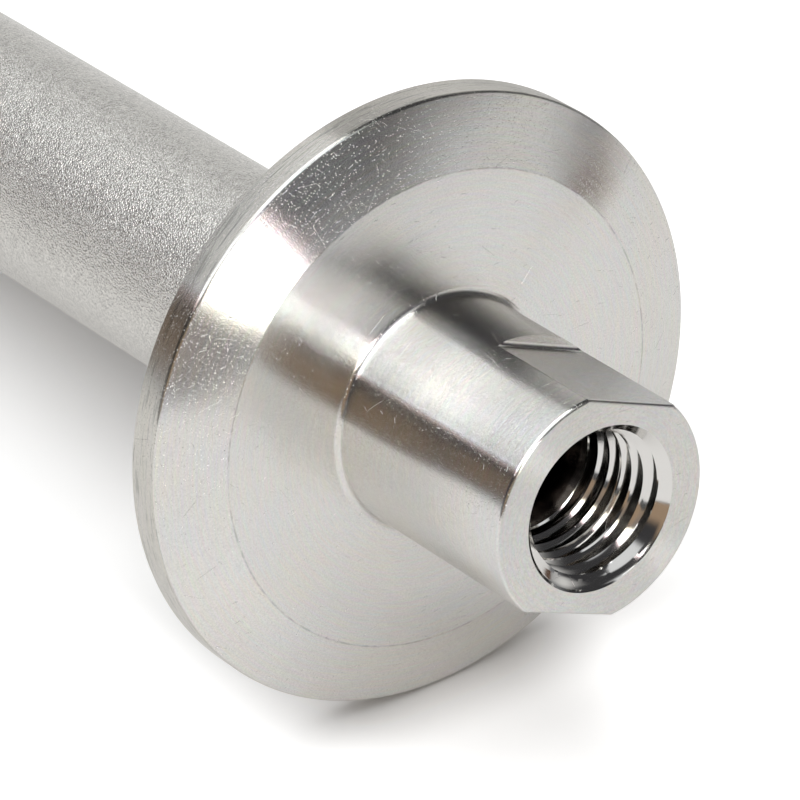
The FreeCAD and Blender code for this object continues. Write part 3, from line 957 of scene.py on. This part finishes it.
@dataclass
class Studio:
    """The white paper floor, the dark room round it, the lamps and the camera.

    The stone lies on its flange and on the far end of its tube, so up in the photograph
    isn't up in the CAD frame: it is a vector of that frame. The camera's place and lens, the
    floor's level and the lift's ramps are in mm, and all else is in metres and degrees.
    """

    up: Point = (0.10539631, -0.39970905, 0.91056263)
    look: Point = (-0.72434739, 0.64237698, -0.25034511)
    right: Point = (0.5863889, 0.76500092, 0.26631121)
    camera_place: Point = (327.803, -290.638, 112.249)
    lens: float = 263.06
    sensor: float = 36.0
    clip: tuple[float, float] = (0.01, 20.0)
    floor_level: float = -25.13
    floor_reach: float = 3.0
    paper: Colour = (0.915, 0.9, 0.882)
    # Ramps of the camera-only glow that paints light onto the paper round the stone and lightens parts
    # of its shadow.
    lift_aside: Ramp = Ramp(-10.0, 10.0, 0.0, 0.24)
    lift_behind: Ramp = Ramp(-30.0, -5.0, 1.0, 0.1)
    lift_front: Ramp = Ramp(2.5, 10.0, 0.0, 0.34)
    lift_open: Ramp = Ramp(26.0, 30.5, 0.0, 0.43)
    mirror_lift: float = 0.035
    fill: float = 0.015
    room_radius: float = 2.5
    room_turns: int = 72
    room_rises: int = 23
    room_bottom: float = -2.0
    card_turns: int = 8
    foot_fade: Ramp = Ramp(2.0, 18.0)
    room_dark: Colour = (0.045, 0.045, 0.048)
    room_foot: Colour = (0.20, 0.205, 0.215)
    walls: tuple[Wall, ...] = (
        Wall(2.0, 24.0, 0.0, 33.0, 28.0, 15.0, (0.87, 0.87, 0.86)),
        Wall(97.0, 8.0, 0.0, 7.0, 17.0, 16.0, (0.81, 0.81, 0.80)),
        Wall(142.0, 26.0, 52.0, 9.0, 9.0, 9.0, (0.83, 0.85, 0.87)),
        Wall(180.0, 14.0, 7.0, 6.0, 14.0, 12.0, (0.39, 0.28, 0.19)),
        Wall(-77.0, 6.0, 5.0, 6.0, 12.0, 8.0, (0.29, 0.21, 0.15)),
    )
    softboxes: tuple[Softbox, ...] = (
        Softbox("key_upper", 144.5, 16.1, 37.5, 1.2, 0.0733, 0.68, 7.4, (1.0, 0.93, 0.95)),
        Softbox("key_middle", 147.4, 13.9, 38.2, 1.2, 0.0733, 0.68, 7.4, (0.93, 0.98, 1.0)),
        Softbox("key_lower", 150.2, 11.7, 38.8, 1.2, 0.0733, 0.68, 7.4, (1.0, 0.98, 0.90)),
        Softbox("overhead", -116.9, 68.4, 100.7, 0.90, 1.12, 1.26, 2.38, (0.955, 0.98, 1.0)),
        Softbox("key_edge_rose", 142.1, 17.8, 36.7, 1.205, 0.05, 0.68, 1.7, (1.0, 0.80, 0.82)),
        Softbox("key_edge_straw", 152.2, 10.1, 39.2, 1.21, 0.036, 0.68, 2.0, (1.0, 0.92, 0.70)),
        Softbox("overhead_edge_blue", -123.9, 37.3, 94.9, 1.11, 0.06, 1.26, 1.5, (0.78, 0.84, 1.0)),
        Softbox("overhead_edge_rose", -124.2, 34.5, 94.8, 1.16, 0.05, 1.26, 1.7, (1.0, 0.74, 0.70)),
        Softbox("side_fill", 85.0, 50.0, 0.0, 0.9, 0.8, 0.6, 1.0, mirrored=False),
    )
    cards: tuple[Card, ...] = (
        Card("bench_edge", 88.5, 15.0, 0.2, 0.0225, (0.10, 0.045, 0.02)),
        Card("bench_side", 151.0, 34.0, 0.26, 0.0245, (0.08, 0.085, 0.09)),
    )

    def level_axes(self) -> Matrix:
        """The studio's own axes, to the right, away from the camera and up, as columns."""
        up = Vector(self.up).normalized()
        away = Vector(self.look)
        away = (away - up * away.dot(up)).normalized()
        return Matrix((away.cross(up), away, up)).transposed()

    def direction(self, azimuth: float, elevation: float) -> Vector:
        """The unit vector towards an azimuth and elevation of the studio, in degrees."""
        turn, rise = math.radians(azimuth), math.radians(elevation)
        level = math.cos(rise)
        parts = (level * math.sin(turn), level * math.cos(turn), math.sin(rise))
        return self.level_axes() @ Vector(parts)

    def seen_as_white(self, graph: Graph, kinds: tuple[Ray, ...]) -> Socket:
        """A share that is 1 for the named kinds of ray and 0 for all others."""
        rays = graph.add("LightPath").outputs
        total = rays[kinds[0].value]
        for kind in kinds[1:]:
            total = graph.math("ADD", total, rays[kind.value], clamp=True)
        return total

    def lay_paper(self) -> None:
        """The white floor under the stone, see-through from below.

        Its corners are the four sums of plus or minus the reach to the right and away. To
        the camera it also glows, a painted light set round the stone that whitens the open
        paper and lightens parts of the stone's shadow: the lift aside times the lift behind,
        plus the lifts in front and further out than the rim.
        """
        signs = np.array([(-1, -1), (1, -1), (1, 1), (-1, 1)], dtype=float)
        axes = np.array(self.level_axes())
        corners = (signs @ axes[:, :2].T) * self.floor_reach + axes[:, 2] * self.floor_level * MM
        mesh = bpy.data.meshes.new("paper_floor")
        mesh.from_pydata(corners.tolist(), [], [(0, 1, 2, 3)])
        floor = bpy.data.objects.new("paper_floor", mesh)
        bpy.context.scene.collection.objects.link(floor)
        material, graph = new_material("white_paper")
        camera = self.seen_as_white(graph, (Ray.CAMERA,))
        mirror = self.seen_as_white(graph, (Ray.GLOSSY, Ray.TRANSMISSION))
        place = graph.scaled(graph.add("TexCoord").outputs["Object"], 1 / MM)
        side = graph.vector("LENGTH", graph.vector("MULTIPLY", place, (0.0, 1.0, 1.0)))
        along = graph.vector("DOT_PRODUCT", place, (1.0, 0.0, 0.0))
        across = tuple(Vector((1.0, 0.0, 0.0)).cross(Vector(self.up)).normalized())
        aside = graph.vector("DOT_PRODUCT", place, across)
        # Painted light: a camera-only glow that lightens the paper, and parts of the shadow, by place
        # round the stone.
        lift = graph.product(graph.span(aside, self.lift_aside), graph.span(along, self.lift_behind))
        lift = graph.total(lift, graph.span(along, self.lift_front))
        lift = graph.total(lift, graph.span(side, self.lift_open))
        lift = graph.product(camera, lift)
        lift = graph.total(lift, graph.product(mirror, self.mirror_lift))
        diffuse = graph.add("BsdfDiffuse", {"Color": self.paper}).outputs[0]
        glow = graph.add("Emission", {"Strength": lift}).outputs[0]
        paper = graph.add("AddShader", {0: diffuse, 1: glow}).outputs[0]
        clear = graph.add("BsdfTransparent").outputs[0]
        behind = graph.add("NewGeometry").outputs["Backfacing"]
        unseen = graph.product(behind, camera)
        graph.show(graph.add("MixShader", {0: unseen, 1: paper, 2: clear}))
        material.cycles.emission_sampling = "NONE"
        mesh.materials.append(material)

    def enclose(self) -> None:
        """The room that the polished metal mirrors above the floor.

        It is a dome, a point of which lies at the room's radius in the direction of its
        azimuth and elevation. It is grey at its foot and dark above, but for its walls, and
        only mirrored rays see it.
        """
        turns = np.radians(np.linspace(0, 360, self.room_turns + 1))[None, :]
        rises = np.radians(np.linspace(self.room_bottom, 90, self.room_rises + 1))[:, None]
        parts = [np.cos(rises) * np.sin(turns), np.cos(rises) * np.cos(turns), np.sin(rises)]
        grid = np.stack(np.broadcast_arrays(*parts), axis=-1) * self.room_radius
        grid = grid @ np.array(self.level_axes()).T
        dome = shell("dark_room", grid / MM, closed=False)
        material, graph = new_material("room_walls")
        place = graph.add("TexCoord").outputs["Object"]
        right, away, up = (tuple(axis) for axis in self.level_axes().col)
        height = graph.math("DIVIDE", graph.vector("DOT_PRODUCT", place, up), self.room_radius)
        rise = graph.math("DEGREES", graph.math("ARCSINE", height))
        sides = [graph.vector("DOT_PRODUCT", place, axis) for axis in (right, away)]
        turn = graph.math("DEGREES", graph.math("ARCTAN2", *sides))
        colour = graph.blend(graph.span(rise, self.foot_fade), self.room_foot, self.room_dark)
        for wall in self.walls:
            aside = graph.math("WRAP", graph.math("SUBTRACT", turn, wall.azimuth), 180.0, -180.0)
            aside = graph.math("ABSOLUTE", aside)
            ends = wall.half_width, wall.half_width + wall.side_fade
            across = graph.span(aside, Ramp(*ends, 1.0, 0.0))
            ends = wall.half_height, wall.half_height + wall.fade
            off = graph.math("ABSOLUTE", graph.math("SUBTRACT", rise, wall.elevation))
            upward = graph.span(off, Ramp(*ends, 1.0, 0.0))
            colour = graph.blend(graph.product(across, upward), colour, wall.colour)
        self.show_to_mirrors(dome, material, graph, colour)

    def show_to_mirrors(
        self, thing: Thing, material: bpy.types.Material, graph: Graph, colour
    ) -> None:
        """Finishes a thing of the studio that glows evenly and that only mirrored rays see.

        Args:
            thing: The dome or a card.
            material: Its material.
            graph: The graph of its material.
            colour: The colour it glows in, or a socket that gives it.
        """
        graph.show(graph.add("Emission", {"Color": colour, "Strength": 1.0}))
        material.cycles.emission_sampling = "NONE"
        thing.data.materials.append(material)
        thing.visible_camera = False
        thing.visible_diffuse = False
        thing.visible_shadow = False

    def stand_card(self, card: Card) -> None:
        """Stands a card on the floor.

        A point of it is distance (sin a, cos a) along the floor, for azimuths a across its
        spread, plus a height from 0 to the card's.

        Args:
            card: The card's place, size and colour.
        """
        half = card.spread / 2
        turns = np.linspace(card.azimuth - half, card.azimuth + half, self.card_turns + 1)
        turns = np.radians(turns)[None, :]
        heights = np.array([[0.0], [card.height]]) + self.floor_level * MM
        parts = [card.distance * np.sin(turns), card.distance * np.cos(turns), heights]
        grid = np.stack(np.broadcast_arrays(*parts), axis=-1) @ np.array(self.level_axes()).T
        strip = shell(card.name, grid / MM, closed=False)
        self.show_to_mirrors(strip, *new_material(card.name), card.colour)

    def light_room(self) -> None:
        """The white surroundings: white to camera and mirrors, and a plain fill elsewhere."""
        world = bpy.data.worlds.new("white_room")
        world.use_nodes = True
        graph = Graph(world.node_tree)
        seen = self.seen_as_white(graph, (Ray.CAMERA, Ray.GLOSSY, Ray.TRANSMISSION))
        strength = graph.add("MapRange", {"Value": seen, 3: self.fill, 4: 1.0}).outputs[0]
        glow = graph.add("Background", {"Color": (1.0, 1.0, 1.0), "Strength": strength})
        graph.add("OutputWorld", {0: glow.outputs[0]})
        world.cycles.sampling_method = "NONE"
        bpy.context.scene.world = world

    def hang_softbox(self, box: Softbox) -> None:
        """Hangs a lamp and turns its face to the stone.

        Its power is radiance x pi x area, which gives its face that brightness.

        Args:
            box: The lamp's place, size and brightness.
        """
        data = bpy.data.lights.new(box.name, "AREA")
        data.shape = "RECTANGLE"
        data.size, data.size_y = box.width, box.height
        data.energy = box.radiance * math.pi * box.width * box.height
        data.color = box.colour
        lamp = bpy.data.objects.new(box.name, data)
        towards = self.direction(box.azimuth, box.elevation)
        up = self.level_axes().col[2]
        side = up.cross(towards).normalized()
        level = Matrix((side, towards.cross(side), towards)).transposed()
        turned = level @ Matrix.Rotation(math.radians(box.roll), 3, "Z")
        lamp.matrix_world = Matrix.Translation(towards * box.distance) @ turned.to_4x4()
        lamp.visible_camera = False
        lamp.visible_glossy = box.mirrored
        bpy.context.scene.collection.objects.link(lamp)

    def place_camera(self) -> None:
        """Sets the camera at the photograph's point of view."""
        data = bpy.data.cameras.new("portrait")
        data.sensor_width = self.sensor
        data.lens = self.lens
        data.clip_start, data.clip_end = self.clip
        camera = bpy.data.objects.new("portrait", data)
        look, right = Vector(self.look), Vector(self.right)
        turned = Matrix((right, right.cross(look), -look)).transposed()
        camera.matrix_world = Matrix.Translation(Vector(self.camera_place) * MM) @ turned.to_4x4()
        bpy.context.scene.collection.objects.link(camera)
        bpy.context.scene.camera = camera

    def set_up(self) -> None:
        """Builds the studio round the stone."""
        self.place_camera()
        self.lay_paper()
        self.enclose()
        self.light_room()
        for box in self.softboxes:
            self.hang_softbox(box)
        for card in self.cards:
            self.stand_card(card)
        bpy.context.scene.view_settings.view_transform = "Standard"


def main() -> None:
    """Builds and dresses the pieces in order, sets up the studio and logs each piece's face count."""
    logging.basicConfig(level=logging.INFO, format="%(name)s %(message)s")
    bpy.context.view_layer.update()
    Studio().set_up()
    steel, powder = TurnedSteel(), SinteredSteel()
    for part, finish in ((InletFitting(), steel), (PorousTube(), powder), (EndPlug(), steel)):
        piece = part.build()
        part.dress(piece, finish)
        LOG.info("%s: %d faces", piece.name, len(piece.data.polygons))


if __name__ == "__main__":
    main()
